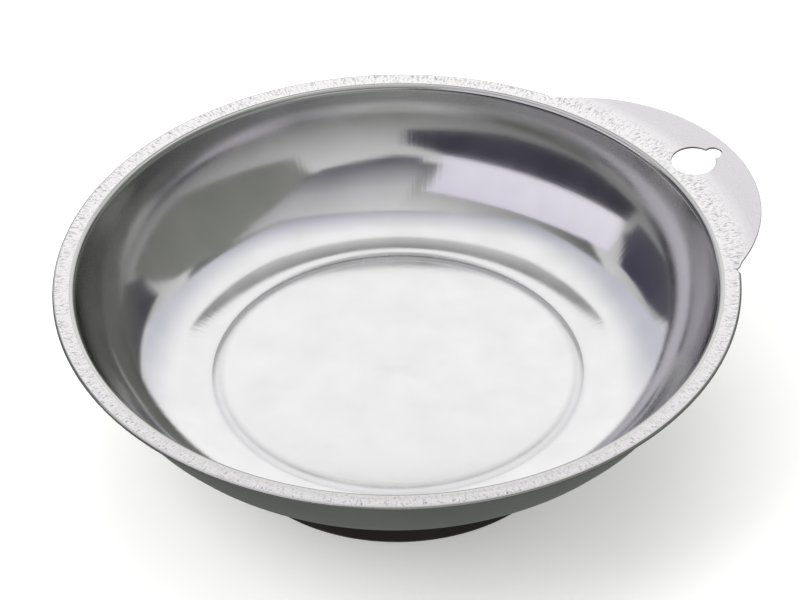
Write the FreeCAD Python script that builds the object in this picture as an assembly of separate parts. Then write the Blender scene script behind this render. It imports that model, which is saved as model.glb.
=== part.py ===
"""Round magnetic parts tray.

A drawn stainless bowl with a hemmed rim and a flat hanging tab stands on a rubber boot. The boot
holds a ring magnet and its steel backing plate. A stud welded under the bowl's floor passes through
them, and a nut with two washers clamps the whole foot to the bowl.

Units are millimetres. The origin is the centre of the bowl's raised floor, on its upper face.
+Z is up, and +X points along the hanging tab.
"""
import FreeCAD, Part
import math
import os

# ---- bowl: drawn stainless sheet -------------------------------------------------------------
sheet_thickness = 0.5
rim_radius = 75.0            # outside of the folded hem
rim_height = 25.6            # rim's upper face above the raised floor
rim_width = 3.6              # flat of the rim and its fold, measured in from the outside
lip_radius = 1.5             # round edge where the wall turns over into the rim
wall_lean = 10.5             # degrees from upright, just under the lip
sweep_handover = 40.0        # slope in degrees where the floor's curve passes to the wall's curve
step_width = 2.4             # ring that joins the raised floor to the lower ring round it
step_height = 0.4
step_foot_radius = 0.8       # tight inner corner at the bottom of that step
seat_margin = 0.4            # flat floor left outside the boot's upper edge
hem_gap = 0.1                # air left inside the fold
hem_margin = 0.85            # from the edge of the folded strip to the lip

# ---- hanging tab ------------------------------------------------------------------------------
tab_reach = 12.9             # tip of the tab beyond the rim
tab_radius = 40.2
tab_blend_radius = 6.0       # hollow corners where the tab meets the rim
tab_overlap = 1.5            # how far the tab's sheet runs in under the rim's flat
keyhole_radius = 5.0
keyhole_offset = 3.3         # centre of the large hole beyond the rim
keyhole_slot_radius = 1.9
keyhole_slot_offset = 5.3    # centre of the small lobe beyond the large hole's centre

# ---- magnet and backing plate -----------------------------------------------------------------
magnet_radius = 35.0
magnet_bore_radius = 16.0
magnet_thickness = 10.0
magnet_chamfer = 0.5
plate_thickness = 1.6
plate_inset = 0.4            # the plate's edge lies this far inside the magnet's
dish_rise = 7.0              # dish of the plate that enters the magnet's bore
dish_clearance = 0.3

# ---- rubber boot ------------------------------------------------------------------------------
boot_clearance = 0.3         # round the magnet
boot_wall = 3.1
boot_flare = 0.3             # extra radius at the bottom of the boot
boot_base = 3.0
boot_edge_radius = 1.2
tread_height = 1.8           # foot ring that stands on the bench
tread_width = 14.0
tread_slope = 1.0            # lean of the foot ring's inner side
groove_count = 4
groove_width = 1.2
groove_depth = 0.9
hub_thickness = 2.0
hub_clearance = 0.2          # between the boot's hub and the dish

# ---- M5 fastening -----------------------------------------------------------------------------
stud_radius = 2.5
stud_projection = 2.0        # thread left showing beyond the nut
thread_pitch = 0.8
thread_depth = 0.45
weld_flange_radius = 4.5
weld_flange_thickness = 0.8
stud_hole_clearance = 0.3
washer_radius = 7.5
washer_thickness = 1.2
spring_washer_radius = 4.4
spring_washer_thickness = 1.3
spring_washer_split = 1.0    # width of its slanted cut
spring_washer_slant = 25.0
nut_across_flats = 8.0
nut_height = 4.0
nut_chamfer = 0.5            # how much of each corner the nut's chamfer takes

# ---- places that follow from the sizes above --------------------------------------------------
boot_bore_radius = magnet_radius + boot_clearance
boot_top_radius = boot_bore_radius + boot_wall
boot_foot_radius = boot_top_radius + boot_flare
floor_radius = boot_top_radius + seat_margin
sweep_start_radius = floor_radius + step_width
mouth_radius = rim_radius - rim_width
fold_radius = sheet_thickness + hem_gap / 2

floor_underside = -sheet_thickness
magnet_bottom = floor_underside - magnet_thickness
plate_bottom = magnet_bottom - plate_thickness
base_bottom = plate_bottom - boot_base
bench_level = base_bottom - tread_height
dish_ceiling = plate_bottom + dish_rise
hub_bottom = dish_ceiling - hub_thickness
washer_bottom = hub_bottom - washer_thickness
spring_bottom = washer_bottom - spring_washer_thickness
nut_bottom = spring_bottom - nut_height
stud_tip = nut_bottom - stud_projection

dish_outer_radius = magnet_bore_radius - dish_clearance
dish_inner_radius = dish_outer_radius - plate_thickness
dish_bend_radius = dish_clearance + magnet_chamfer   # clears the magnet's chamfered bore
hub_outer_radius = dish_inner_radius - hub_clearance
hub_inner_radius = hub_outer_radius - hub_thickness
stud_hole_radius = stud_radius + stud_hole_clearance

AXIS = FreeCAD.Vector(0, 0, 1)
ORIGIN = FreeCAD.Vector(0, 0, 0)


# ---- helpers ----------------------------------------------------------------------------------
def at(r, z):
    """A point of a half section, at radius r and height z."""
    return FreeCAD.Vector(r, 0, z)


def flat(radius, degrees, z=0.0):
    """A point seen from above, by its radius and its direction from +X."""
    a = math.radians(degrees)
    return FreeCAD.Vector(radius * math.cos(a), radius * math.sin(a), z)


def polygon(points):
    """A face bounded by straight edges."""
    return Part.Face(Part.makePolygon(points + [points[0]]))


def turned(face, start=0.0, sweep=360.0):
    """A half section turned about the vertical axis."""
    solid = face.revolve(ORIGIN, AXIS, sweep)
    solid.rotate(ORIGIN, AXIS, start)
    return solid


def disc(radius, thickness, bottom):
    return Part.makeCylinder(radius, thickness, at(0, bottom))


def ring(outer, inner, thickness, bottom):
    return disc(outer, thickness, bottom).cut(disc(inner, thickness, bottom))


def is_circle_at(edge, radius, z):
    box = edge.BoundBox
    return abs(box.ZMax - z) < 1e-6 and abs(box.ZMin - z) < 1e-6 and abs(box.XMax - radius) < 1e-6


def export(shape, node):
    """Write one node, and say what it holds."""
    shape = shape.removeSplitter()
    shape.exportStep("parts/" + node + ".step")
    print(node, "solids", len(shape.Solids), "valid", shape.isValid(), "mm3", round(shape.Volume, 1))


class SheetPath:
    """The half section of a pressed sheet, followed along one face as a press toolmaker would.

    Every step goes straight on or round a bend. The other face lies one sheet thickness to the
    right of the direction of travel, and bend radii are those of the followed face.
    """

    def __init__(self, start, heading, thickness):
        self.point = start
        self.heading = math.radians(heading)
        self.thickness = thickness
        self.face = []
        self.back = []

    def left(self, heading):
        return at(-math.sin(heading), math.cos(heading))

    def on_back(self, point, heading):
        return point - self.left(heading) * self.thickness

    def straight(self, length):
        end = self.point + at(math.cos(self.heading), math.sin(self.heading)) * length
        self.face.append(Part.LineSegment(self.point, end).toShape())
        back_start = self.on_back(self.point, self.heading)
        self.back.append(Part.LineSegment(back_start, self.on_back(end, self.heading)).toShape())
        self.point = end

    def bend(self, radius, degrees):
        """Turn left (upwards) for positive degrees and right for negative ones."""
        turn = math.radians(degrees)
        side = math.copysign(1.0, turn)
        centre = self.point + self.left(self.heading) * (radius * side)
        headings = [self.heading, self.heading + turn / 2, self.heading + turn]
        for edges, reach in ((self.face, radius), (self.back, radius + side * self.thickness)):
            places = [centre - self.left(h) * (reach * side) for h in headings]
            edges.append(Part.Arc(*places).toShape())
        self.point = centre - self.left(headings[2]) * (radius * side)
        self.heading = headings[2]

    def section(self):
        """The closed face between the two sides of the sheet."""
        first = Part.LineSegment(self.face[0].Vertexes[0].Point, self.back[0].Vertexes[0].Point)
        last = Part.LineSegment(self.face[-1].Vertexes[-1].Point, self.back[-1].Vertexes[-1].Point)
        edges = self.face + self.back + [first.toShape(), last.toShape()]
        return Part.Face(Part.Wire(Part.__sortEdges__(edges)))


# ---- bowl -------------------------------------------------------------------------------------
def step_slope():
    """Slope of the floor's step where its two curves meet, in degrees."""
    return 2 * math.degrees(math.atan(step_height / step_width))


def wall_radii():
    """Radii of the floor's curve and the wall's curve, which together reach the lip.

    They turn from level to the wall's lean, over the width and height between the step and the lip.
    """
    lip_slope = math.radians(90 - wall_lean)
    change = math.radians(sweep_handover)
    across = mouth_radius - lip_radius * math.sin(lip_slope) - sweep_start_radius
    up = rim_height + step_height - lip_radius * (1 - math.cos(lip_slope))
    first_across = math.sin(change)
    second_across = math.sin(lip_slope) - math.sin(change)
    first_up = 1 - math.cos(change)
    second_up = math.cos(change) - math.cos(lip_slope)
    scale = first_across * second_up - second_across * first_up
    floor_sweep = (across * second_up - up * second_across) / scale
    wall_sweep = (up * first_across - across * first_up) / scale
    return floor_sweep, wall_sweep


def bowl_shell():
    """Floor, step, wall, lip and the rim's flat, without its fold."""
    slope = step_slope()
    step_radii = step_width / math.sin(math.radians(slope))
    floor_sweep, wall_sweep = wall_radii()
    path = SheetPath(at(0, 0), 0, sheet_thickness)
    path.straight(floor_radius)
    path.bend(step_radii - step_foot_radius, -slope)
    path.bend(step_foot_radius, slope)
    path.bend(floor_sweep, sweep_handover)
    path.bend(wall_sweep, 90 - wall_lean - sweep_handover)
    path.bend(lip_radius, wall_lean - 90)
    path.straight(rim_radius - fold_radius - mouth_radius)
    print("floor curve radius", round(floor_sweep, 2), "wall curve radius", round(wall_sweep, 2))
    return turned(path.section())


def blend_centre():
    """Centre of the hollow corner that touches both the rim and the tab."""
    tab_centre = rim_radius + tab_reach - tab_radius
    from_rim = rim_radius + tab_blend_radius
    from_tab = tab_radius + tab_blend_radius
    x = (from_rim ** 2 - from_tab ** 2 + tab_centre ** 2) / (2 * tab_centre)
    return FreeCAD.Vector(x, math.sqrt(from_rim ** 2 - x ** 2), 0)


def hem_fold(hem_start):
    """The rim's edge folded under, all the way round except across the tab."""
    path = SheetPath(at(rim_radius - fold_radius, rim_height), 0, sheet_thickness)
    path.bend(fold_radius, -180)
    path.straight(rim_width - fold_radius - hem_margin)
    return turned(path.section(), hem_start, 360 - 2 * hem_start)


def tab_outline(hem_start):
    """The tab seen from above, with the part of it that lies in the rim."""
    tab_centre = FreeCAD.Vector(rim_radius + tab_reach - tab_radius, 0, 0)
    corner = blend_centre()
    on_rim = flat(rim_radius, hem_start)
    on_tab = tab_centre + (corner - tab_centre).normalize() * tab_radius
    half_way = (on_rim + on_tab) * 0.5
    hollow = corner + (half_way - corner).normalize() * tab_blend_radius
    inner_radius = rim_radius - fold_radius - tab_overlap
    inner = flat(inner_radius, hem_start)

    def mirrored(p):
        return FreeCAD.Vector(p.x, -p.y, p.z)

    tip = FreeCAD.Vector(rim_radius + tab_reach, 0, 0)
    edges = [
        Part.LineSegment(inner, on_rim),
        Part.Arc(on_rim, hollow, on_tab),
        Part.Arc(on_tab, tip, mirrored(on_tab)),
        Part.Arc(mirrored(on_tab), mirrored(hollow), mirrored(on_rim)),
        Part.LineSegment(mirrored(on_rim), mirrored(inner)),
        Part.Arc(mirrored(inner), flat(inner_radius, 0), inner),
    ]
    return Part.Face(Part.Wire([e.toShape() for e in edges]))


def keyhole():
    """Cutter for the large hole and the small lobe outside it."""
    bottom = rim_height - 2 * sheet_thickness
    large = Part.makeCylinder(keyhole_radius, 3 * sheet_thickness,
                              at(rim_radius + keyhole_offset, bottom))
    small = Part.makeCylinder(keyhole_slot_radius, 3 * sheet_thickness,
                              at(rim_radius + keyhole_offset + keyhole_slot_offset, bottom))
    return large.fuse(small)


def bowl():
    corner = blend_centre()
    hem_start = math.degrees(math.atan2(corner.y, corner.x))
    tab = tab_outline(hem_start).extrude(AXIS * sheet_thickness)
    tab.translate(AXIS * (rim_height - sheet_thickness))
    return bowl_shell().fuse([hem_fold(hem_start), tab]).cut(keyhole())


# ---- foot -------------------------------------------------------------------------------------
def ring_magnet():
    c = magnet_chamfer
    low = magnet_bottom
    high = floor_underside
    return turned(polygon([
        at(magnet_bore_radius + c, low), at(magnet_radius - c, low),
        at(magnet_radius, low + c), at(magnet_radius, high - c),
        at(magnet_radius - c, high), at(magnet_bore_radius + c, high),
        at(magnet_bore_radius, high - c), at(magnet_bore_radius, low + c)]))


def backing_plate():
    """Pressed steel disc whose dish centres the magnet and hides the nut."""
    path = SheetPath(at(stud_hole_radius, dish_ceiling + plate_thickness), 0, plate_thickness)
    outer_bend = dish_bend_radius + plate_thickness
    path.straight(dish_outer_radius - outer_bend - stud_hole_radius)
    path.bend(outer_bend, -90)
    path.straight(dish_rise - outer_bend - dish_bend_radius)
    path.bend(dish_bend_radius, 90)
    flange_start = dish_outer_radius + dish_bend_radius
    path.straight(magnet_radius - plate_inset - flange_start)
    return turned(path.section())


def rubber_boot():
    """Moulded cup round the magnet, with a hub that fits up into the plate's dish."""
    tread_inner = boot_foot_radius - tread_width
    body = turned(polygon([
        at(hub_inner_radius, base_bottom), at(tread_inner - tread_slope, base_bottom),
        at(tread_inner, bench_level), at(boot_foot_radius, bench_level),
        at(boot_top_radius, floor_underside), at(boot_bore_radius, floor_underside),
        at(boot_bore_radius, plate_bottom), at(hub_outer_radius, plate_bottom),
        at(hub_outer_radius, dish_ceiling - dish_bend_radius),
        at(hub_outer_radius - dish_bend_radius, dish_ceiling),
        at(stud_hole_radius, dish_ceiling), at(stud_hole_radius, hub_bottom),
        at(hub_inner_radius, hub_bottom)]))
    lower_edges = [e for e in body.Edges if is_circle_at(e, boot_foot_radius, bench_level)]
    body = body.makeFillet(boot_edge_radius, lower_edges)
    return body.cut(tread_grooves(tread_inner))


def tread_grooves(tread_inner):
    """Round grooves that leave grip ribs in the foot ring."""
    pitch = tread_width / (groove_count + 1)
    grooves = []
    for i in range(1, groove_count + 1):
        middle = tread_inner + i * pitch
        grooves.append(ring(middle + groove_width / 2, middle - groove_width / 2,
                            groove_depth, bench_level))
    return Part.makeCompound(grooves)


# ---- fastening --------------------------------------------------------------------------------
def weld_stud():
    """Flanged weld stud. Its thread is drawn as rings, and only where it shows below the nut."""
    root = stud_radius - thread_depth
    outline = [at(0, stud_tip), at(root, stud_tip)]
    for i in range(int(stud_projection / thread_pitch)):
        low = stud_tip + i * thread_pitch
        outline += [at(stud_radius, low + thread_pitch / 2), at(root, low + thread_pitch)]
    outline += [
        at(stud_radius, nut_bottom),
        at(stud_radius, floor_underside - weld_flange_thickness),
        at(weld_flange_radius, floor_underside - weld_flange_thickness),
        at(weld_flange_radius, floor_underside), at(0, floor_underside)]
    return turned(polygon(outline))


def plain_washer():
    return ring(washer_radius, stud_hole_radius, washer_thickness, washer_bottom)


def spring_washer():
    """Split washer, closed flat by the nut, with its slanted cut still open."""
    body = ring(spring_washer_radius, stud_hole_radius, spring_washer_thickness, spring_bottom)
    length = 2 * spring_washer_radius
    depth = 3 * spring_washer_thickness
    cut = Part.makeBox(length, spring_washer_split, depth,
                       FreeCAD.Vector(0, -spring_washer_split / 2, -depth / 2))
    cut.rotate(ORIGIN, FreeCAD.Vector(1, 0, 0), spring_washer_slant)
    cut.translate(AXIS * (spring_bottom + spring_washer_thickness / 2))
    return body.cut(cut)


def hex_nut():
    """Hexagon nut with both faces chamfered at the corners."""
    corner = nut_across_flats / 2 / math.cos(math.radians(30))
    hexagon = polygon([flat(corner, 60 * i, nut_bottom) for i in range(6)])
    body = hexagon.extrude(AXIS * nut_height)
    rise = nut_chamfer * math.tan(math.radians(30))
    top = nut_bottom + nut_height
    envelope = turned(polygon([
        at(0, nut_bottom), at(corner - nut_chamfer, nut_bottom), at(corner, nut_bottom + rise),
        at(corner, top - rise), at(corner - nut_chamfer, top), at(0, top)]))
    return body.common(envelope).cut(disc(stud_radius, nut_height, nut_bottom))


os.makedirs("parts", exist_ok=True)
export(bowl(), "bowl")
export(ring_magnet(), "ring_magnet")
export(backing_plate(), "backing_plate")
export(rubber_boot(), "rubber_boot")
export(weld_stud(), "weld_stud")
export(plain_washer(), "plain_washer")
export(spring_washer(), "spring_washer")
export(hex_nut(), "hex_nut")
print("overall height", round(rim_height - bench_level, 2))
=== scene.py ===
# %% [markdown]
# # A round magnetic parts tray
# The tray is a drawn stainless bowl with a hemmed rim and a hanging tab, standing on a rubber boot
# that holds a ring magnet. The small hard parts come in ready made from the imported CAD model. Most
# of what the eye meets is one polished sheet of steel, and polished steel shows nothing but its
# surroundings, so this lesson spends its effort on three things: a very smooth mesh for the sheet,
# the marks that the press and the polishing wheel left on it, and a studio worth reflecting.

# %% Load the CAD frame
import math
import bpy
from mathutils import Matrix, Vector, noise


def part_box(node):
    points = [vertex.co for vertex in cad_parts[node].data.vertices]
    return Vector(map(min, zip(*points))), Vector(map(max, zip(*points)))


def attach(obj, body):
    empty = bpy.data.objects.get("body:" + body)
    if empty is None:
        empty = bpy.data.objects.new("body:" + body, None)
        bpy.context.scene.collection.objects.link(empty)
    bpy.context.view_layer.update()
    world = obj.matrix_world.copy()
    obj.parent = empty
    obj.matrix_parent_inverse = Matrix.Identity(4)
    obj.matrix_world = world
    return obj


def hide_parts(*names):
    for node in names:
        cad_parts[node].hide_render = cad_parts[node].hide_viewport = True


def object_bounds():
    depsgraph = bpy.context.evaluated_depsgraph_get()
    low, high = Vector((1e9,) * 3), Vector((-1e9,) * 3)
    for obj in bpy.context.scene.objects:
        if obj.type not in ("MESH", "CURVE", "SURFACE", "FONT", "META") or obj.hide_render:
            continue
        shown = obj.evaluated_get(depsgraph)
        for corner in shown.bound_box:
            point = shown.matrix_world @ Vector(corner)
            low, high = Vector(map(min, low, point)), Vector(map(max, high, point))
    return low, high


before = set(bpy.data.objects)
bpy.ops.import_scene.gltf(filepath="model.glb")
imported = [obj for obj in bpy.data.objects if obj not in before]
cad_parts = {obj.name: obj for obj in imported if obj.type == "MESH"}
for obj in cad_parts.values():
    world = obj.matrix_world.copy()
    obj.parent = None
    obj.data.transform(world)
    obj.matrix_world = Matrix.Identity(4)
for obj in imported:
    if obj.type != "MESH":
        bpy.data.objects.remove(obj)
cad_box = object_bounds()
print("CAD nodes", sorted(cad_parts))
print("CAD box in mm", [[round(v * 1000, 2) for v in corner] for corner in cad_box])

# %% [markdown]
# Everything in Blender is in metres, but a toolmaker thinks in millimetres. One constant turns
# millimetres to metres, and one function turns a colour written as an sRGB hex value to the linear
# light values that shader sockets expect.

# %% Units and colour
MM = 0.001


def linear(hex_colour):
    """An sRGB hex colour as linear RGBA."""
    def channel(text):
        value = int(text, 16) / 255
        return value / 12.92 if value <= 0.04045 else ((value + 0.055) / 1.055) ** 2.4
    return (*[channel(hex_colour[i:i + 2]) for i in (1, 3, 5)], 1.0)


print("mid grey in linear light", round(linear("#808080")[0], 3))

# %% [markdown]
# A node material is a list of small steps. This one function adds a node, sets its properties and
# its sockets, and joins sockets to other nodes' outputs, so that every material below reads as a
# recipe. A value that is a node output makes a link, and anything else is a plain setting. Some
# nodes have several sockets of one name, as Mix and the vector nodes do, and those go by number.

# %% Node helper
def node(tree, kind, settings=None, stops=(), **inputs):
    """Adds a node. settings are its properties, stops a ramp's (position, hex colour) pairs.

    inputs are its sockets, by name with _ for a space, or as _N by number.
    """
    made = tree.nodes.new(kind)
    for name, value in (settings or {}).items():
        setattr(made, name, value)
    for number, (position, colour) in enumerate(stops):
        ramp = made.color_ramp.elements
        element = ramp[number] if number < 2 else ramp.new(position)
        element.position = position
        element.color = linear(colour)
    for name, value in inputs.items():
        key = int(name[1:]) if name.startswith("_") else name.replace("_", " ")
        socket = made.inputs[key]
        if isinstance(value, bpy.types.NodeSocket):
            tree.links.new(value, socket)
        else:
            socket.default_value = value
    return made


def new_material(name):
    """An empty node material and its tree."""
    material = bpy.data.materials.new(name)
    material.use_nodes = True
    material.node_tree.nodes.clear()
    return material, material.node_tree


# %% [markdown]
# ## Where the camera stands
# The tray is looked at from a long way off with a long lens, so its rim stays a true ellipse. The
# camera's place is given the way a photographer would note it down: the point it aims at, how far
# away it is, how high above the horizon, and its bearing round the tray. A little roll levels it.

# %% Camera
tab_side = 31.6              # degrees that the tab is turned back from the camera's right
camera_heading = math.radians(90 - tab_side)
camera_elevation = math.radians(39.21)
camera_roll = math.radians(-0.79)
camera_distance = 1200 * MM
camera_aim = Vector((0.55, -0.34, 20.04)) * MM
lens_mm = 247.34

forward = Vector((math.cos(camera_heading) * math.cos(camera_elevation),
                  math.sin(camera_heading) * math.cos(camera_elevation),
                  -math.sin(camera_elevation)))
side = forward.cross(Vector((0, 0, 1))).normalized()
up = side.cross(forward)
rolled_side = side * math.cos(camera_roll) + up * math.sin(camera_roll)
rolled_up = up * math.cos(camera_roll) - side * math.sin(camera_roll)

camera = bpy.data.objects.new("camera", bpy.data.cameras.new("camera"))
bpy.context.scene.collection.objects.link(camera)
camera.data.lens = lens_mm
camera.data.clip_start = 50 * MM
camera.data.clip_end = 50
turn = camera.matrix_world.to_3x3()
for column, direction in enumerate((rolled_side, rolled_up, -forward)):
    turn.col[column] = direction
camera.matrix_world = turn.to_4x4()
camera.location = camera_aim - forward * camera_distance
bpy.context.scene.camera = camera
print("camera stands", round(camera.location.z, 3), "m above the tray floor")

# %% [markdown]
# ## The drawn bowl
# The real bowl is one disc of 0.5 mm stainless sheet. A press draws it into a mould, trims it, and
# folds its edge under to make a safe hem, except at the tab, where the sheet runs on flat. A lathe
# or a Screw modifier could turn a profile round the axis, but then every ring would be round, and
# the tab isn't. So the mesh is built column by column: each column follows the sheet's section at
# one bearing, and the columns across the tab simply reach further out.
#
# The section is followed as the toolmaker drew it: straight on, or round a bend of a given radius.

# %% The sheet's sizes
bowl_low, bowl_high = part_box("bowl")
sheet = 0.5 * MM
rim_top = bowl_high.z
rim_radius = -bowl_low.x
tab_tip = bowl_high.x
rim_width = 3.6 * MM
mouth_radius = rim_radius - rim_width
lip_radius = 1.5 * MM
wall_slope = math.radians(79.5)      # under the lip, from level
handover_slope = math.radians(40)    # where the floor's curve passes to the wall's
floor_radius = 38.8 * MM
step_width = 2.4 * MM
step_height = 0.4 * MM
step_foot_radius = 0.8 * MM
fold_radius = sheet + 0.05 * MM
hem_margin = 0.85 * MM
tab_radius = 40.2 * MM
tab_corner_radius = 6 * MM
edge_break = 0.1 * MM                # corners that shearing and tumbling take off a cut edge
print("rim", round(rim_radius / MM, 2), "mm at", round(rim_top / MM, 2), "mm")


# %% The two big curves of the wall
def wall_curves():
    """Radii of the floor's curve and the wall's curve, which meet at the handover slope."""
    across = mouth_radius - lip_radius * math.sin(wall_slope) - floor_radius - step_width
    rise = rim_top + step_height - lip_radius * (1 - math.cos(wall_slope))
    first_across = math.sin(handover_slope)
    second_across = math.sin(wall_slope) - first_across
    first_rise = 1 - math.cos(handover_slope)
    second_rise = math.cos(handover_slope) - math.cos(wall_slope)
    scale = first_across * second_rise - second_across * first_rise
    return ((across * second_rise - rise * second_across) / scale,
            (rise * first_across - across * first_rise) / scale)


floor_curve, wall_curve = wall_curves()
print("curves", round(floor_curve / MM, 2), round(wall_curve / MM, 2), "mm")

# %% [markdown]
# A bend needs enough points to look round in a mirror, because a reflection doubles every error.
# Each leg of the walk says how many points it gets on the upper face, which is polished, and how
# many on the back, which is only satin and gets by with fewer.

# %% Walking along the section
step_slope = 2 * math.atan(step_height / step_width)
step_curve = step_width / math.sin(step_slope)
bowl_legs = [
    # length or radius, turn, points on the face, points on the back
    (floor_radius, 0, 3, 2),
    (step_curve - step_foot_radius, -step_slope, 4, 3),
    (step_foot_radius, step_slope, 5, 3),
    (floor_curve, handover_slope, 13, 8),
    (wall_curve, wall_slope - handover_slope, 11, 6),
    (lip_radius, -wall_slope, 9, 5),
]
flat_leg = [(rim_radius - fold_radius - mouth_radius, 0, 7, 2)]
hem_legs = [(fold_radius, -math.pi, 9, 5), (rim_width - fold_radius - hem_margin, 0, 2, 2)]


def walk(radius, height, legs, on_back):
    """Points (radius, height) along the face of the sheet, or along its back, from level on."""
    heading = 0.0
    points = []
    for size, turn, face_count, back_count in legs:
        count = back_count if on_back else face_count
        bend = math.copysign(size, turn)
        for i in range(1, count + 1):
            share = i / count
            if turn:
                here = heading + turn * share
                r = radius + bend * (math.sin(here) - math.sin(heading))
                z = height + bend * (math.cos(heading) - math.cos(here))
            else:
                here = heading
                r = radius + size * share * math.cos(here)
                z = height + size * share * math.sin(here)
            offset = sheet if on_back else 0
            points.append((r + offset * math.sin(here), z - offset * math.cos(here)))
        if turn:
            radius += bend * (math.sin(heading + turn) - math.sin(heading))
            height += bend * (math.cos(heading) - math.cos(heading + turn))
            heading += turn
        else:
            radius += size * math.cos(heading)
            height += size * math.sin(heading)
    return points


face_points = walk(0, 0, bowl_legs, False)
back_points = walk(0, 0, bowl_legs, True)
print("section points", len(face_points), len(back_points), "rim at",
      round(face_points[-1][0] / MM, 3), round(face_points[-1][1] / MM, 3))

# %% [markdown]
# Seen from above, the tab is an arc of its own radius that meets the rim through small hollow
# corners. For a column at some bearing, the outline's radius is where a ray from the middle of the
# bowl crosses one of these three circles.

# %% The tab's outline
tab_centre = tab_tip - tab_radius
corner_to_rim = rim_radius + tab_corner_radius
corner_to_tab = tab_radius + tab_corner_radius
corner_x = (corner_to_rim ** 2 - corner_to_tab ** 2 + tab_centre ** 2) / (2 * tab_centre)
corner_y = math.sqrt(corner_to_rim ** 2 - corner_x ** 2)
hem_start = math.atan2(corner_y, corner_x)
reach = tab_radius / corner_to_tab
tab_start = math.atan2(corner_y * reach, tab_centre + (corner_x - tab_centre) * reach)


def outline_radius(bearing):
    """How far the sheet reaches at this bearing, its folded edge included."""
    angle = abs(bearing)
    if angle >= hem_start:
        return rim_radius
    x, y, radius, far = (corner_x, corner_y, tab_corner_radius, -1)
    if angle < tab_start:
        x, y, radius, far = (tab_centre, 0, tab_radius, 1)
    along = x * math.cos(angle) + y * math.sin(angle)
    aside = x * math.sin(angle) - y * math.cos(angle)
    return along + far * math.sqrt(max(0, radius ** 2 - aside ** 2))


print("hem starts at", round(math.degrees(hem_start), 2), "degrees from the tab's middle")

# %% [markdown]
# The columns stand closer together across the tab, where the outline changes fast, than round the
# rest of the rim. Where the hem ends, the fold runs out into the flat tab over a couple of
# millimetres, so each column's edge is blended between the two shapes.

# %% The columns' bearings and their edges
tab_columns = 260
rim_columns = 660
tab_zone = hem_start + math.radians(2)
run_out = math.radians(0.9)
bearings = [-tab_zone + 2 * tab_zone * i / tab_columns for i in range(tab_columns)]
bearings += [tab_zone + (2 * math.pi - 2 * tab_zone) * i / rim_columns for i in range(rim_columns)]
bearings = [b if b <= math.pi else b - 2 * math.pi for b in bearings]


def mixed(a, b, share):
    return tuple(p + (q - p) * share for p, q in zip(a, b))


def capped(face, back, heading_out):
    """Two points that close the sheet's cut edge with its corners taken off."""
    share = edge_break / sheet
    out = (heading_out * edge_break, 0)
    return [tuple(p + o for p, o in zip(mixed(face, back, s), out)) for s in (share, 1 - share)]


def edge_section(bearing):
    """The rim's flat, its fold or the tab, and the way back under it, for one column."""
    legs = flat_leg + hem_legs
    hem_face = walk(mouth_radius, rim_top, legs, False)
    hem_back = walk(mouth_radius, rim_top, legs, True)
    hem = hem_face + capped(hem_face[-1], hem_back[-1], -1) + hem_back[::-1]
    reach_out = outline_radius(bearing) - edge_break - mouth_radius
    tab_face = [(mouth_radius + reach_out * (i + 1) / len(hem_face), rim_top)
                for i in range(len(hem_face))]
    tab_back = [(mouth_radius + reach_out * (i + 1) / len(hem_back), rim_top - sheet)
                for i in range(len(hem_back))]
    tab = tab_face + capped(tab_face[-1], tab_back[-1], 1) + tab_back[::-1]
    share = min(1, max(0, (hem_start + run_out - abs(bearing)) / (2 * run_out)))
    return [mixed(h, t, share * share * (3 - 2 * share)) for h, t in zip(hem, tab)]


print(len(bearings), "columns")

# %% [markdown]
# Folding a hem upsets the metal: its outer side has to crowd into a smaller circle, so the flat of
# the rim comes out covered in small crushed marks that mostly run outwards. The larger ones are real
# relief here, in hundredths of a millimetre. The finer ones come later, in the material.

# %% Crushed marks of the press
swell_density = 14           # noise cells per radian round the rim
mark_density = 46
mark_rows = 0.35             # noise cells per millimetre outwards, so the marks are long that way
swell_depth = 0.012          # in millimetres
mark_depth = 0.022
inner_fade = 0.6 * MM        # the relief fades in from the lip and out again on the tab
relief_past_rim = 2.5 * MM
outer_fade = 3 * MM


def press_relief(bearing, radius):
    """Height of the press's marks on the rim, in metres. They only ever dent the sheet."""
    swell = noise.noise(Vector((math.cos(bearing), math.sin(bearing), 0)) * swell_density)
    marks = noise.noise(Vector((math.cos(bearing) * mark_density, math.sin(bearing) * mark_density,
                                radius / MM * mark_rows)))
    inner = min(1, max(0, (radius - mouth_radius) / inner_fade))
    outer = min(1, max(0, (rim_radius + relief_past_rim - radius) / outer_fade))
    return (swell_depth * (swell - 1) + mark_depth * (marks - 1)) * MM * inner * outer


print("swells about", round(rim_radius / MM / swell_density, 1), "mm long, marks about",
      round(rim_radius / MM / mark_density, 1), "mm")


# %% [markdown]
# The mesh joins each column to the next with four-sided faces, and closes the middle of the floor
# with a fan of triangles. Each face also notes which of three finishes it has, because the finish
# changes at known places along the section: at the end of the lip, and at the sheet's cut edge.

# %% Build the bowl's mesh
POLISHED, PRESSED, SATIN = range(3)


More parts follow.
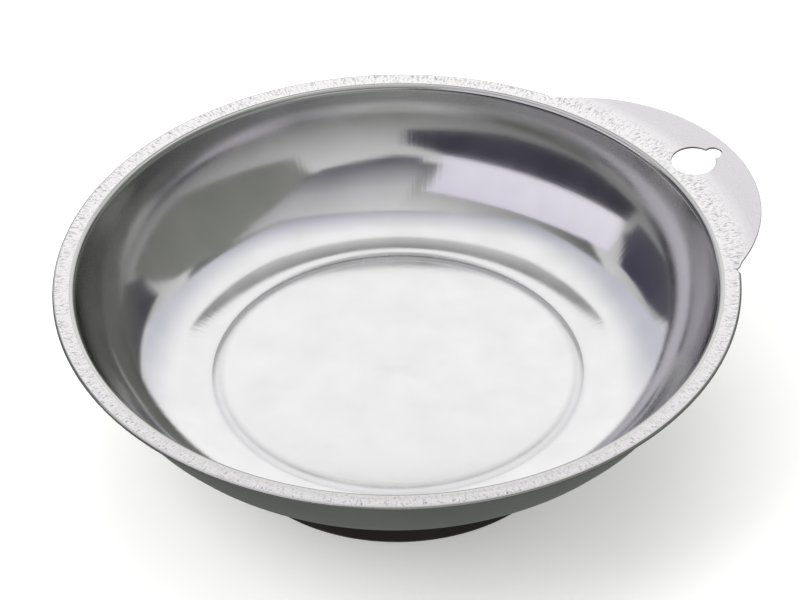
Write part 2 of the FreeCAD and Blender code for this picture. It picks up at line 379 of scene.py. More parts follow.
def bowl_mesh():
    """The whole sheet as one closed mesh, with each face's finish as its material number."""
    columns = []
    for bearing in bearings:
        section = face_points + edge_section(bearing) + back_points[::-1]
        columns.append([
            Vector((r * math.cos(bearing), r * math.sin(bearing),
                    z + (press_relief(bearing, r) if z > rim_top - sheet * 1.5 else 0)))
            for r, z in section])
    rings = len(columns[0])
    vertices = [v for column in columns for v in column]
    count = len(columns)
    faces = []
    zones = []
    flat_start = len(face_points)
    hem_start_ring = flat_start + sum(leg[2] for leg in flat_leg)
    cut_edge_ring = hem_start_ring + sum(leg[2] for leg in hem_legs) - 1
    for c in range(count):
        a, b = c * rings, (c + 1) % count * rings
        for i in range(rings - 1):
            faces.append((a + i, a + i + 1, b + i + 1, b + i))
            if i < flat_start - 1:
                zones.append(POLISHED)
            elif i < cut_edge_ring:
                on_tab = abs(bearings[c]) < hem_start
                zones.append(PRESSED if i < hem_start_ring - 1 or on_tab else POLISHED)
            else:
                zones.append(SATIN)
    top = len(vertices)
    vertices += [Vector((0, 0, 0)), Vector((0, 0, -sheet))]
    for c in range(count):
        a, b = c * rings, (c + 1) % count * rings
        faces += [(top, a, b), (top + 1, b + rings - 1, a + rings - 1)]
        zones += [POLISHED, SATIN]
    mesh = bpy.data.meshes.new("drawn_bowl")
    mesh.from_pydata(vertices, [], faces)
    mesh.polygons.foreach_set("material_index", zones)
    mesh.validate()
    return mesh


def add_object(name, mesh):
    made = bpy.data.objects.new(name, mesh)
    bpy.context.scene.collection.objects.link(made)
    return made


bowl = add_object("drawn_bowl", bowl_mesh())
print("bowl faces", len(bowl.data.polygons))

# %% [markdown]
# The hanging hole is punched: one large round hole with a small lobe outside it, where the nail's
# head catches. A punch leaves slightly broken corners, so each cutter flares out at both faces of
# the sheet. Booleans are the simple way to cut a flat face that already has its final points.

# %% Punch the keyhole
keyhole_radius = 5 * MM
keyhole_place = rim_radius + 3.3 * MM
lobe_radius = 1.9 * MM
lobe_place = keyhole_place + 5.3 * MM
punch_points = 96
punch_past = 0.3 * MM        # how far each cutter stands past the sheet


def punch(name, radius, place):
    """A round cutter that flares at the sheet's two faces."""
    flare = radius + edge_break + punch_past
    levels = [(flare, rim_top + punch_past), (radius, rim_top - edge_break),
              (radius, rim_top - sheet + edge_break), (flare, rim_top - sheet - punch_past)]
    vertices = []
    for r, z in levels:
        for i in range(punch_points):
            a = 2 * math.pi * (i + 0.5) / punch_points
            vertices.append((place + r * math.cos(a), r * math.sin(a), z))
    faces = [list(range(punch_points))]
    faces += [[level + (i + 1) % punch_points, level + i, level + punch_points + i,
               level + punch_points + (i + 1) % punch_points]
              for level in range(0, 3 * punch_points, punch_points) for i in range(punch_points)]
    faces.append(list(range(4 * punch_points - 1, 3 * punch_points - 1, -1)))
    mesh = bpy.data.meshes.new(name)
    mesh.from_pydata(vertices, [], faces)
    return add_object(name, mesh)


def cut_away(target, cutter):
    """Takes the cutter's shape out of the target for good."""
    modifier = target.modifiers.new("cut", "BOOLEAN")
    modifier.operation = "DIFFERENCE"
    modifier.solver = "EXACT"
    modifier.object = cutter
    bpy.context.view_layer.update()
    shown = target.evaluated_get(bpy.context.evaluated_depsgraph_get())
    old = target.data
    target.data = bpy.data.meshes.new_from_object(shown)
    target.modifiers.remove(modifier)
    bpy.data.meshes.remove(old)
    bpy.data.objects.remove(cutter)


print("keyhole from", round((keyhole_place - keyhole_radius) / MM, 2), "to",
      round((lobe_place + lobe_radius) / MM, 2), "mm from the bowl's axis")

# %% [markdown]
# ## Stainless steel, three ways
# All of the bowl is one grade of stainless, but the press shop leaves it with three surfaces:
# polished inside, squeezed flat on the rim and the tab, and left as drawn outside. Stainless is a
# metal, so its colour is the colour of its reflection, a nearly neutral light grey, and the IOR
# socket keeps its default.
#
# Every mark on it follows the bowl's shape: round it, or straight out from its axis. An unwrapped
# texture could carry such marks, but it needs seams. Three numbers are simpler: the place in
# millimetres, the radius, and a point on the unit circle that says which way round it lies.

# %% Places on the bowl that the patterns use
def bowl_places(tree):
    """Position in millimetres, the radius, and a point on the unit circle at this bearing."""
    position = node(tree, "ShaderNodeTexCoord").outputs["Object"]
    in_mm = node(tree, "ShaderNodeVectorMath", {"operation": "SCALE"}, _0=position, Scale=1 / MM)
    flat = node(tree, "ShaderNodeVectorMath", {"operation": "MULTIPLY"},
                _0=in_mm.outputs[0], _1=(1, 1, 0))
    radius = node(tree, "ShaderNodeVectorMath", {"operation": "LENGTH"}, _0=flat.outputs[0])
    circle = node(tree, "ShaderNodeVectorMath", {"operation": "NORMALIZE"}, _0=flat.outputs[0])
    return in_mm.outputs[0], radius.outputs["Value"], circle.outputs[0]


def spread(tree, circle, across, around_per_mm, across_per_mm, at_radius):
    """Texture coordinates with one density round the bowl and another one across it."""
    around = node(tree, "ShaderNodeVectorMath", {"operation": "SCALE"}, _0=circle,
                  Scale=at_radius * around_per_mm)
    rows = node(tree, "ShaderNodeMath", {"operation": "MULTIPLY"}, _0=across, _1=across_per_mm)
    lift = node(tree, "ShaderNodeCombineXYZ", Z=rows.outputs[0])
    return node(tree, "ShaderNodeVectorMath", {"operation": "ADD"},
                _0=around.outputs[0], _1=lift.outputs[0]).outputs[0]


print("the rim is", round(2 * math.pi * rim_radius / MM), "mm round")

# %% [markdown]
# ### Polished inside
# A polishing mop spins in the bowl and leaves a soft mirror. Under it, faint marks still run down
# the wall where the sheet slid over the punch. Anisotropic shading could smear the reflections
# along the mop's path, but the paths cross so often that the smear is nearly even, so plain
# roughness does it, with both sets of lines in one faint bump. The wall was stretched most, so it is
# rougher up there, and so is the step round the raised floor, which the mop skips over.

# %% Polished inside
step_middle = 40.0           # radius of the step round the raised floor, in millimetres


def polished_stainless():
    """304 sheet, drawn and then mopped on a wheel: a soft mirror with faint draw lines."""
    material, tree = new_material("polished_stainless")
    place, radius, circle = bowl_places(tree)
    # Draw lines are 0.7 mm apart and run 50 mm down the wall. The mop's lines are too fine to see,
    # so they are drawn 0.17 mm apart to show at all. The cloudy patches are 11 mm across.
    drawn_round = spread(tree, circle, radius, around_per_mm=1.4, across_per_mm=0.02, at_radius=60)
    draw_lines = node(tree, "ShaderNodeTexNoise", Vector=drawn_round, Scale=1.0, Detail=3.0)
    mopped_round = spread(tree, circle, radius, around_per_mm=0.05, across_per_mm=6.0, at_radius=60)
    mop_lines = node(tree, "ShaderNodeTexNoise", Vector=mopped_round, Scale=1.0, Detail=2.0)
    cloudy = node(tree, "ShaderNodeTexNoise", Vector=place, Scale=0.09, Detail=2.0).outputs["Fac"]

    worn = node(tree, "ShaderNodeMapRange", Value=cloudy,
                From_Min=0.35, From_Max=0.65, To_Min=0.0, To_Max=0.04)
    stretched = node(tree, "ShaderNodeMapRange", {"interpolation_type": "SMOOTHSTEP"}, Value=radius,
                     From_Min=56.0, From_Max=71.0, To_Min=0.08, To_Max=0.14)
    past_step = node(tree, "ShaderNodeMath", {"operation": "SUBTRACT"}, _0=radius, _1=step_middle)
    from_step = node(tree, "ShaderNodeMath", {"operation": "ABSOLUTE"}, _0=past_step.outputs[0])
    at_step = node(tree, "ShaderNodeMapRange", {"interpolation_type": "SMOOTHSTEP"},
                   Value=from_step.outputs[0], From_Min=2.4, From_Max=0.6, To_Min=0.0, To_Max=0.16)
    rough_wall = node(tree, "ShaderNodeMath", {"operation": "ADD"},
                      _0=worn.outputs[0], _1=stretched.outputs[0])
    rough = node(tree, "ShaderNodeMath", {"operation": "ADD"},
                 _0=rough_wall.outputs[0], _1=at_step.outputs[0])

    sheen = node(tree, "ShaderNodeValToRGB", stops=[(0.3, "#C6C6C6"), (0.7, "#CECDCE")], Fac=cloudy)
    # Just under the rim the colour is darker: painted shade, so the wall mirrors more dimly there.
    painted_shade_under_rim = node(tree, "ShaderNodeMapRange", {"interpolation_type": "SMOOTHSTEP"}, Value=radius,
                     From_Min=66.0, From_Max=72.0, To_Min=0.0, To_Max=1.0)
    colour = node(tree, "ShaderNodeMix", {"data_type": "RGBA"}, _0=painted_shade_under_rim.outputs[0],
                  _6=sheen.outputs["Color"], _7=linear("#B1B2AE"))

    lines = node(tree, "ShaderNodeMath", {"operation": "MULTIPLY_ADD"},
                 _0=mop_lines.outputs["Fac"], _1=0.5, _2=draw_lines.outputs["Fac"])
    bump = node(tree, "ShaderNodeBump", Strength=0.12, Distance=0.06 * MM, Height=lines.outputs[0])
    shader = node(tree, "ShaderNodeBsdfPrincipled", Base_Color=colour.outputs[2],
                  Roughness=rough.outputs[0], Normal=bump.outputs[0], Metallic=1.0)
    node(tree, "ShaderNodeOutputMaterial", Surface=shader.outputs[0])
    return material


polished = polished_stainless()
print(polished.name, "takes", len(polished.node_tree.nodes), "nodes")

# %% [markdown]
# ### Pressed rim and tab
# The tools squeeze the rim and the tab flat. That leaves the sheet bright, with fine crushed marks
# where the hem's metal had to crowd together: densest on the rim's outer side, and fading out
# across the tab. They could all be sculpted, but each is only a few tenths of a millimetre, so they
# are pits in the bump, and the shade in them is painted into the colour as darker flecks.

# %% Pressed rim and tab
def pressed_stainless():
    """The same sheet where the tools squeezed it flat: bright, with fine crushed marks."""
    material, tree = new_material("pressed_stainless")
    place, radius, circle = bowl_places(tree)
    # The marks are about 0.5 mm round the rim and 1 mm outwards, in patches 3 mm across. The tool's
    # scratches are too fine to see, so they are drawn 0.2 mm apart and 8 mm long.
    crushed = spread(tree, circle, radius, around_per_mm=1.9, across_per_mm=0.9, at_radius=75)
    crush = node(tree, "ShaderNodeTexNoise", Vector=crushed, Scale=1.0, Detail=3.0, Roughness=0.55)
    patches = node(tree, "ShaderNodeTexNoise", Vector=place, Scale=0.35, Detail=2.0)
    scratched = spread(tree, circle, radius, around_per_mm=0.12, across_per_mm=5.0, at_radius=75)
    scratches = node(tree, "ShaderNodeTexNoise", Vector=scratched, Scale=1.0, Detail=3.0,
                     Roughness=0.7).outputs["Fac"]

    on_rim = node(tree, "ShaderNodeMapRange", Value=radius,
                  From_Min=78.0, From_Max=74.6, To_Min=0.04, To_Max=1.0)
    outer_side = node(tree, "ShaderNodeMapRange", Value=radius,
                      From_Min=71.6, From_Max=74.2, To_Min=0.45, To_Max=1.0)
    uneven = node(tree, "ShaderNodeMapRange", Value=patches.outputs["Fac"],
                  From_Min=0.35, From_Max=0.65, To_Min=0.5, To_Max=1.0)
    where = node(tree, "ShaderNodeMath", {"operation": "MULTIPLY"},
                 _0=on_rim.outputs[0], _1=outer_side.outputs[0])
    amount = node(tree, "ShaderNodeMath", {"operation": "MULTIPLY"},
                  _0=where.outputs[0], _1=uneven.outputs[0])
    pits = node(tree, "ShaderNodeMapRange", Value=crush.outputs["Fac"],
                From_Min=0.5, From_Max=0.34, To_Min=0.0, To_Max=1.0)
    mark = node(tree, "ShaderNodeMath", {"operation": "MULTIPLY"},
                _0=pits.outputs[0], _1=amount.outputs[0]).outputs[0]

    # The pits' darker colour is painted shade; their relief is in the bump.
    pit_shade_colour = node(tree, "ShaderNodeMix", {"data_type": "RGBA"}, _0=mark,
                  _6=linear("#D5D3D4"), _7=linear("#939293"))
    on_tab = node(tree, "ShaderNodeMapRange", {"interpolation_type": "SMOOTHSTEP"}, Value=radius,
                  From_Min=75.0, From_Max=81.0, To_Min=0.0, To_Max=1.0)
    colour = node(tree, "ShaderNodeMix", {"data_type": "RGBA"}, _0=on_tab.outputs[0],
                  _6=pit_shade_colour.outputs[2], _7=linear("#C0BDC0"))
    rough = node(tree, "ShaderNodeMapRange", Value=scratches,
                 From_Min=0.3, From_Max=0.7, To_Min=0.22, To_Max=0.3)
    shallow = node(tree, "ShaderNodeMath", {"operation": "MULTIPLY"}, _0=scratches, _1=0.06)
    height = node(tree, "ShaderNodeMath", {"operation": "SUBTRACT"}, _0=shallow.outputs[0], _1=mark)
    bump = node(tree, "ShaderNodeBump", Strength=1.0, Distance=0.05 * MM, Height=height.outputs[0])
    shader = node(tree, "ShaderNodeBsdfPrincipled", Base_Color=colour.outputs[2],
                  Roughness=rough.outputs[0], Normal=bump.outputs[0], Metallic=1.0)
    node(tree, "ShaderNodeOutputMaterial", Surface=shader.outputs[0])
    return material


pressed = pressed_stainless()
print(pressed.name, "takes", len(pressed.node_tree.nodes), "nodes")

# %% [markdown]
# ### Satin outside
# Nobody polishes the outside. It keeps the duller satin of drawn sheet, with fine lines round it
# from the die. A higher roughness gives the satin, and it varies with the lines so that the sheen
# isn't perfectly even. The sheet's cut edges have this finish too.

# %% Satin outside
def satin_stainless():
    """The outside as drawn, never polished: a duller, darker satin with fine lines round it."""
    material, tree = new_material("satin_stainless")
    place, radius, circle = bowl_places(tree)
    height = node(tree, "ShaderNodeSeparateXYZ", _0=place).outputs["Z"]
    # The die's lines are drawn 0.2 mm apart, the closest that still shows. The clouds are 17 mm.
    die_round = spread(tree, circle, height, around_per_mm=0.06, across_per_mm=5.0, at_radius=70)
    rings = node(tree, "ShaderNodeTexNoise", Vector=die_round, Scale=1.0, Detail=3.0).outputs["Fac"]
    cloudy = node(tree, "ShaderNodeTexNoise", Vector=place, Scale=0.06, Detail=2.0)
    colour = node(tree, "ShaderNodeValToRGB", stops=[(0.3, "#B4B6B4"), (0.7, "#BFC0BE")],
                  Fac=cloudy.outputs["Fac"])
    rough = node(tree, "ShaderNodeMapRange", Value=rings,
                 From_Min=0.3, From_Max=0.7, To_Min=0.32, To_Max=0.42)
    bump = node(tree, "ShaderNodeBump", Strength=0.15, Distance=0.05 * MM, Height=rings)
    shader = node(tree, "ShaderNodeBsdfPrincipled", Base_Color=colour.outputs["Color"],
                  Roughness=rough.outputs[0], Normal=bump.outputs[0], Metallic=1.0)
    node(tree, "ShaderNodeOutputMaterial", Surface=shader.outputs[0])
    return material


satin = satin_stainless()
print(satin.name, "takes", len(satin.node_tree.nodes), "nodes")

# %% [markdown]
# The finishes go on in the order of their numbers, and before the keyhole is cut, because a boolean
# keeps each face's finish only when the mesh already has its materials.

# %% Finish the bowl
for finish in (polished, pressed, satin):
    bowl.data.materials.append(finish)
cut_away(bowl, punch("large_punch", keyhole_radius, keyhole_place))
cut_away(bowl, punch("small_punch", lobe_radius, lobe_place))
bowl.data.shade_smooth()
bowl.data.set_sharp_from_angle(angle=math.radians(30))
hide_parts("bowl")
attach(bowl, "root")
print("bowl finishes", [m.name for m in bowl.data.materials])
print("bowl faces after punching", len(bowl.data.polygons))

# %% [markdown]
# ## The foot
# The boot is moulded nitrile rubber, a brown black that scatters what little light reaches it, with
# the fine grain of its mould. Its CAD shape is right, grooves and all, so it only gets a material.

# %% Moulded rubber
def nitrile_rubber():
    """Moulded black rubber: dark, nearly matt, with fine mould grain and a little grey bloom."""
    material, tree = new_material("nitrile_rubber")
    place = node(tree, "ShaderNodeTexCoord").outputs["Object"]
    # The mould's grain is 0.4 mm, and the bloom comes in patches 8 mm across.
    grain = node(tree, "ShaderNodeTexNoise", Vector=place, Scale=2500.0, Detail=2.0)
    bloom = node(tree, "ShaderNodeTexNoise", Vector=place, Scale=120.0, Detail=4.0,
                 Roughness=0.6).outputs["Fac"]
    colour = node(tree, "ShaderNodeValToRGB", stops=[(0.35, "#1B1512"), (0.7, "#2A221E")], Fac=bloom)
    rough = node(tree, "ShaderNodeMapRange", Value=bloom,
                 From_Min=0.3, From_Max=0.7, To_Min=0.55, To_Max=0.7)
    bump = node(tree, "ShaderNodeBump", Strength=0.3, Distance=0.05 * MM,
                Height=grain.outputs["Fac"])
    shader = node(tree, "ShaderNodeBsdfPrincipled", Base_Color=colour.outputs["Color"],
                  Roughness=rough.outputs[0], Normal=bump.outputs[0], IOR=1.52)
    node(tree, "ShaderNodeOutputMaterial", Surface=shader.outputs[0])
    return material


rubber = nitrile_rubber()
print(rubber.name, "takes", len(rubber.node_tree.nodes), "nodes")

# %% [markdown]
# The steel parts under the bowl are bright zinc plated, which gives a cool, slightly blue grey with
# a cloudy sheen. The stud is bare stainless like the bowl. The magnet is hard ferrite, a fired
# ceramic: charcoal grey, and matt from the grinding wheel.

# %% Zinc plate
def zinc_plate():
    """Steel with bright zinc plating: cool grey, cloudy, softer than a polished mirror."""
    material, tree = new_material("zinc_plate")
    place = node(tree, "ShaderNodeTexCoord").outputs["Object"]
    # The plating's clouds are 2.5 mm across.
    cloud = node(tree, "ShaderNodeTexNoise", Vector=place, Scale=400.0, Detail=4.0,
                 Roughness=0.6).outputs["Fac"]
    colour = node(tree, "ShaderNodeValToRGB", stops=[(0.3, "#A9ADB3"), (0.7, "#C3C6CA")], Fac=cloud)
    rough = node(tree, "ShaderNodeMapRange", Value=cloud,
                 From_Min=0.3, From_Max=0.7, To_Min=0.28, To_Max=0.42)
    bump = node(tree, "ShaderNodeBump", Strength=0.2, Distance=0.03 * MM, Height=cloud)
    shader = node(tree, "ShaderNodeBsdfPrincipled", Base_Color=colour.outputs["Color"],
                  Roughness=rough.outputs[0], Normal=bump.outputs[0], Metallic=1.0)
    node(tree, "ShaderNodeOutputMaterial", Surface=shader.outputs[0])
    return material


zinc = zinc_plate()
print(zinc.name, "takes", len(zinc.node_tree.nodes), "nodes")


# %% Turned stud and ground ferrite
def turned_stainless():
    """The stud: bare stainless with the fine rings that cutting its end leaves."""
    material, tree = new_material("turned_stainless")
    place, radius, circle = bowl_places(tree)
    # The cutter's rings are drawn 0.07 mm apart.
    turned = spread(tree, circle, radius, around_per_mm=0.4, across_per_mm=14.0, at_radius=2)
    rings = node(tree, "ShaderNodeTexNoise", Vector=turned, Scale=1.0, Detail=2.0).outputs["Fac"]
    colour = node(tree, "ShaderNodeValToRGB", stops=[(0.3, "#B9B8B6"), (0.7, "#D0CFCD")], Fac=rings)
    bump = node(tree, "ShaderNodeBump", Strength=0.3, Distance=0.03 * MM, Height=rings)
    shader = node(tree, "ShaderNodeBsdfPrincipled", Base_Color=colour.outputs["Color"],
                  Roughness=0.3, Normal=bump.outputs[0], Metallic=1.0)
    node(tree, "ShaderNodeOutputMaterial", Surface=shader.outputs[0])
    return material


def ground_ferrite():
    """Sintered ferrite: charcoal ceramic, matt, with the parallel marks of a surface grinder."""
    material, tree = new_material("ground_ferrite")
    place = node(tree, "ShaderNodeTexCoord").outputs["Object"]
    # The grinder's marks are 0.4 mm apart and 17 mm long.
    ground = node(tree, "ShaderNodeVectorMath", {"operation": "MULTIPLY"},
                  _0=place, _1=(60, 2500, 2500))
    marks = node(tree, "ShaderNodeTexNoise", Vector=ground.outputs[0], Scale=1.0,
                 Detail=3.0).outputs["Fac"]
    colour = node(tree, "ShaderNodeValToRGB", stops=[(0.3, "#2B2B2E"), (0.7, "#3B3B3D")], Fac=marks)
    bump = node(tree, "ShaderNodeBump", Strength=0.3, Distance=0.04 * MM, Height=marks)
    shader = node(tree, "ShaderNodeBsdfPrincipled", Base_Color=colour.outputs["Color"],
                  Roughness=0.55, Normal=bump.outputs[0])
    node(tree, "ShaderNodeOutputMaterial", Surface=shader.outputs[0])
    return material


foot_finishes = {
    "rubber_boot": rubber, "ring_magnet": ground_ferrite(),
    "weld_stud": turned_stainless(), "backing_plate": zinc, "plain_washer": zinc,
    "spring_washer": zinc, "hex_nut": zinc,
}
for name, finish in foot_finishes.items():
    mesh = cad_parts[name].data
    mesh.materials.clear()
    mesh.materials.append(finish)
    print(name, "is", finish.name, "with", len(mesh.polygons), "faces")

# %% [markdown]
# ## The studio
# The floor is pale card under soft, even light, and the world is white all round, at the strength
# at which a colour renders about as it is written. That alone would make the steel look like white
# plastic. What makes polished metal look like metal is contrast in what it mirrors, so studios
# stand dark flags and grey cards round it. Here each is a flat card that only reflections can see:
# the camera and the even light pass through it.
#
# Places in the studio are given by their bearing from the tray, where 0 is straight behind it from
# the camera, 90 is to the right and 180 is the camera's own side, and by their height in degrees.

# %% Floor
floor_level = cad_box[0].z
floor_lift = 0.3             # what the floor lacks of pure white under this light
studio_floor_radius = 6.0


def seen_directly(tree):
    """1 for rays that see the backdrop itself: from the camera, in a mirror, or through glass."""
    rays = node(tree, "ShaderNodeLightPath").outputs
    first = node(tree, "ShaderNodeMath", {"operation": "MAXIMUM"},
                 _0=rays["Is Camera Ray"], _1=rays["Is Glossy Ray"])
    return node(tree, "ShaderNodeMath", {"operation": "MAXIMUM"},
                _0=first.outputs[0], _1=rays["Is Transmission Ray"]).outputs[0]


def pale_card():
    """Matt white card: bright, without any sheen, with a trace of paper grain."""
    material, tree = new_material("pale_card")
    place = node(tree, "ShaderNodeTexCoord").outputs["Object"]
    # The paper's grain is 0.7 mm.
    grain = node(tree, "ShaderNodeTexNoise", Vector=place, Scale=1500.0, Detail=2.0)
    colour = node(tree, "ShaderNodeValToRGB", stops=[(0.3, "#F4F4F3"), (0.7, "#F7F7F6")],
                  Fac=grain.outputs["Fac"])
    card = node(tree, "ShaderNodeBsdfDiffuse", Color=colour.outputs["Color"])
    lift_strength = node(tree, "ShaderNodeMath", {"operation": "MULTIPLY"},
                         _0=seen_directly(tree), _1=floor_lift)
    lift = node(tree, "ShaderNodeEmission", Color=linear("#FFFFFF"),
                Strength=lift_strength.outputs[0])
    shader = node(tree, "ShaderNodeAddShader", _0=card.outputs[0], _1=lift.outputs[0])
    node(tree, "ShaderNodeOutputMaterial", Surface=shader.outputs[0])
    return material


def ring_points(radius, count=96):
    """Points on a level circle."""
    return [(radius * math.cos(2 * math.pi * i / count), radius * math.sin(2 * math.pi * i / count),
             0) for i in range(count)]


floor_mesh = bpy.data.meshes.new("studio_floor")
floor_outline = ring_points(studio_floor_radius)
floor_mesh.from_pydata(floor_outline, [], [list(range(len(floor_outline)))])
floor = add_object("studio_floor", floor_mesh)
floor.location.z = floor_level
floor.data.materials.append(pale_card())
print("floor lies at", round(floor_level / MM, 2), "mm")

# %% [markdown]
# The world gives the even light. Reflections and the camera see it as pure white, and the soft light
# that falls on the tray is a little weaker, because the lamps add their share. A picture of a real
# studio could light it too, but plain white shows each colour as it is.

# %% World
fill_strength = 0.75

world = bpy.data.worlds.new("white_studio")
bpy.context.scene.world = world
bpy.context.scene.view_settings.view_transform = "Standard"
world.use_nodes = True
world.node_tree.nodes.clear()
strength = node(world.node_tree, "ShaderNodeMapRange", Value=seen_directly(world.node_tree),
                To_Min=fill_strength, To_Max=1.0)
background = node(world.node_tree, "ShaderNodeBackground", Color=linear("#FFFFFF"),
                  Strength=strength.outputs[0])
node(world.node_tree, "ShaderNodeOutputWorld", Surface=background.outputs[0])
print("world fills at", fill_strength)

# %% [markdown]
# Each card is a flat sheet of light with its corners at given bearings and heights. A bright lamp
# could stand in for a pale card, but a card has an edge and a gradient, and those are what the eye
# reads in polished steel. Cards overlap as they do on a set: the nearer one hides the farther one.

# %% A card that only reflections see
def studio_direction(bearing, elevation):
    """Unit vector from the tray to a place in the studio."""
    heading = camera_heading - math.radians(bearing)
    level = math.cos(math.radians(elevation))
    return Vector((level * math.cos(heading), level * math.sin(heading),
                   math.sin(math.radians(elevation))))


def show_in_reflections_only(thing):
    """Hides an object from the camera, soft light, glass, mist and shadows."""
    for kind in ("camera", "diffuse", "transmission", "volume_scatter", "shadow"):
        setattr(thing, "visible_" + kind, False)


def reflection_card(name, corners, stops, strength=1.0, distance=0.9, side_tint=None):
    """A card with its corners at (bearing, elevation), seen by reflections alone.

    Its colour follows the stops, (share of its height, colour), from its foot to its top. A side
    tint multiplies it away from the middle, where the light on a real scrim falls off.
    """
    mesh = bpy.data.meshes.new(name)
    points = [studio_direction(*corner) * distance for corner in corners]
    mesh.from_pydata(points, [], [list(range(len(points)))])
    card = add_object(name, mesh)
    material, tree = new_material(name)
    heights = [p.z for p in points]
    place = node(tree, "ShaderNodeTexCoord").outputs["Object"]
    height = node(tree, "ShaderNodeSeparateXYZ", _0=place).outputs["Z"]
    share = node(tree, "ShaderNodeMapRange", Value=height,
                 From_Min=min(heights), From_Max=max(heights))
    colour = node(tree, "ShaderNodeValToRGB", stops=stops, Fac=share.outputs[0]).outputs["Color"]
    if side_tint:
        direction = node(tree, "ShaderNodeVectorMath", {"operation": "NORMALIZE"}, _0=place)
        aside = node(tree, "ShaderNodeVectorMath", {"operation": "DOT_PRODUCT"},
                     _0=direction.outputs[0], _1=side)
        either_side = node(tree, "ShaderNodeMath", {"operation": "ABSOLUTE"},
                           _0=aside.outputs["Value"])
        fade = node(tree, "ShaderNodeMapRange", {"interpolation_type": "SMOOTHSTEP"},
                    Value=either_side.outputs[0], From_Min=0.25, From_Max=0.6)
        colour = node(tree, "ShaderNodeMix", {"data_type": "RGBA", "blend_type": "MULTIPLY"},
                      _0=fade.outputs[0], _6=colour, _7=linear(side_tint)).outputs[2]
    shader = node(tree, "ShaderNodeEmission", Color=colour, Strength=strength)
    node(tree, "ShaderNodeOutputMaterial", Surface=shader.outputs[0])
    mesh.materials.append(material)
    show_in_reflections_only(card)


print("0 degrees lies at", [round(v, 2) for v in studio_direction(0, 0)])

# %% [markdown]
# The set, from the outside in: grey cloth hung round everything, paler towards its top, and open at
# the back, where a large bright scrim stands. In front of them stand the smaller cards and flags.
# The softbox's face makes the bright band on the far wall, and the low flag under it makes the dark
# band beside that.

# %% Stand the cards round the tray
CLOTH_STEP = 15              # width of one length of cloth, in degrees
CLOTH_LOW, CLOTH_BACK, CLOTH_HIGH = -4, 9, 45


def grey_cloth():
    """Lengths of cloth: low ones across the back, tall ones with a roof over front and sides."""
    for bearing in range(-45, 45, CLOTH_STEP):
        after = bearing + CLOTH_STEP
        yield [(bearing, CLOTH_LOW), (after, CLOTH_LOW), (after, CLOTH_BACK), (bearing, CLOTH_BACK)]
    for bearing in range(45, 315, CLOTH_STEP):
        after = bearing + CLOTH_STEP
        yield [(bearing, CLOTH_LOW), (after, CLOTH_LOW), (after, CLOTH_HIGH), (bearing, CLOTH_HIGH)]
        yield [(bearing, CLOTH_HIGH), (after, CLOTH_HIGH), (0, 90)]


for number, corners in enumerate(grey_cloth()):
    reflection_card("grey_cloth_%02d" % number, corners, [(0, "#6E6F6E"), (1, "#FFFFFF")],
                    distance=2.4)
reflection_card("back_scrim", [(-40, 8), (20, 8), (34, 20), (47, 30), (90, 69), (-87, 62), (-47, 27)],
                [(0, "#FFFFFF"), (0.72, "#F8F8F8"), (0.9, "#C8C8D0"), (1, "#A3A2B0")], 1.5,
                distance=1.9, side_tint="#CBCCD6")
reflection_card("right_card", [(62, 14), (58, 40), (66, 56), (88, 60), (117, 57), (142, 46),
                               (140, 30), (95, 12)], [(0, "#868883"), (1, "#9EA09A")])
reflection_card("front_flag", [(69, 57), (88, 67), (0, 89), (-168, 67), (-168, 43), (180, 42),
                               (147, 46), (117, 57)], [(0, "#403D54"), (1, "#FFFFFF")])
reflection_card("left_flag", [(-42, 10), (-48, 27), (-63, 38), (-79, 27), (-80, 14), (-58, 8)],
                [(0, "#64636C"), (1, "#4B485F")])
reflection_card("right_flag", [(20, 5), (34, 19), (47, 29), (53, 33), (62, 20), (55, 5)],
                [(0, "#7C7C79"), (1, "#434250")])
reflection_card("boom_shade", [(-20, 44), (0, 46), (20, 44), (17, 57), (0, 60), (-17, 57)],
                [(0, "#8A898A"), (1, "#FFFFFF")])
reflection_card("softbox_face", [(-84, 21), (-160, 40), (-157, 72), (-70, 41)],
                [(0, "#FBF6FF"), (1, "#E4E0F0")], 1.35, distance=0.8)
reflection_card("low_flag", [(-84, 8), (-84, 20), (-118, 34), (-160, 39), (-176, 32), (-176, 20),
                             (-140, 12), (-110, 8)], [(0, "#4C4B55"), (1, "#3B3949")])
print("cards on the set", sum(1 for m in bpy.data.materials if m.name.startswith("grey_cloth")),
      "lengths of cloth and 8 more")

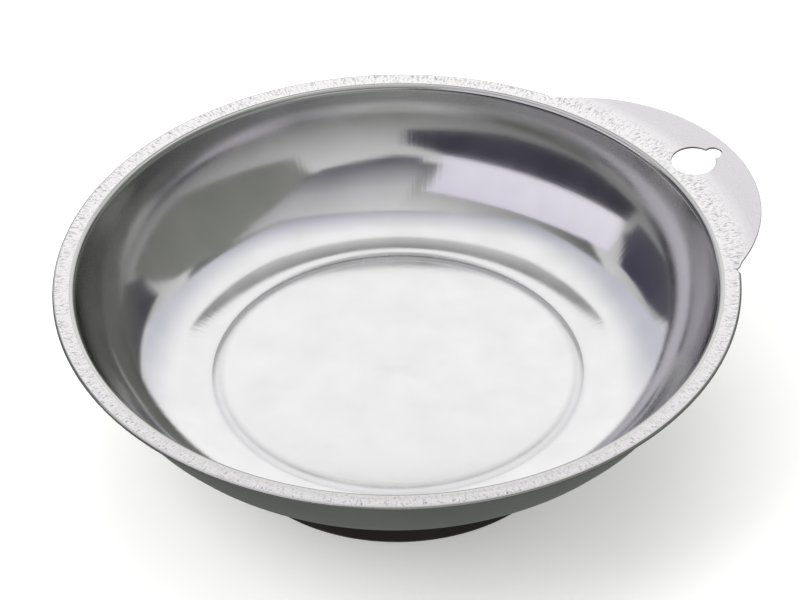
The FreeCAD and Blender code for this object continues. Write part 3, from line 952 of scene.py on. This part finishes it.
# %% [markdown]
# The outside of the bowl leans out over the floor, so all it mirrors is the floor round its foot. A
# mirror there would turn as white as the card, and the tray would lose its edge against it. A ring
# of grey cloth on the floor, which again only reflections see, gives the outside its tone.

# %% Grey ring round the foot
ring_lift = 0.2 * MM         # keeps the ring clear of the floor


def floor_ring(name, inner, outer, colour):
    """A flat ring on the floor, seen by reflections alone."""
    mesh = bpy.data.meshes.new(name)
    vertices = ring_points(inner) + ring_points(outer)
    count = len(vertices) // 2
    faces = [(i, (i + 1) % count, count + (i + 1) % count, count + i) for i in range(count)]
    mesh.from_pydata(vertices, [], faces)
    ring = add_object(name, mesh)
    ring.location.z = floor_level + ring_lift
    material, tree = new_material(name)
    shader = node(tree, "ShaderNodeEmission", Color=linear(colour), Strength=1.0)
    node(tree, "ShaderNodeOutputMaterial", Surface=shader.outputs[0])
    mesh.materials.append(material)
    show_in_reflections_only(ring)
    print(name, "reaches from", round(inner / MM), "to", round(outer / MM), "mm")


floor_ring("foot_cloth", 39 * MM, 900 * MM, "#787B77")

# %% [markdown]
# Two large soft lamps add a little direction to the even light, so that the tray throws a faint
# shadow and stands on its floor. A small lamp would do that too, but with a hard edge. Reflections
# don't see them, since the cards already stand for their faces.

# %% Lamps
lamp_distance = 1.1


def softbox(name, bearing, elevation, size, watts, colour):
    """A large square lamp that faces the tray."""
    data = bpy.data.lights.new(name, "AREA")
    data.shape = "SQUARE"
    data.size = size
    data.energy = watts
    data.color = linear(colour)[:3]
    lamp = bpy.data.objects.new(name, data)
    bpy.context.scene.collection.objects.link(lamp)
    direction = studio_direction(bearing, elevation)
    lamp.location = direction * lamp_distance
    lamp.rotation_mode = "QUATERNION"
    lamp.rotation_quaternion = direction.to_track_quat("Z", "Y")
    lamp.visible_camera = False
    lamp.visible_glossy = False


softbox("left_softbox", -115, 45, 0.7, 5.0, "#FFFFFF")
softbox("back_softbox", 10, 50, 0.9, 4.0, "#FFFDF8")
print("lamps", len(bpy.data.lights))

bpy.context.view_layer.update()
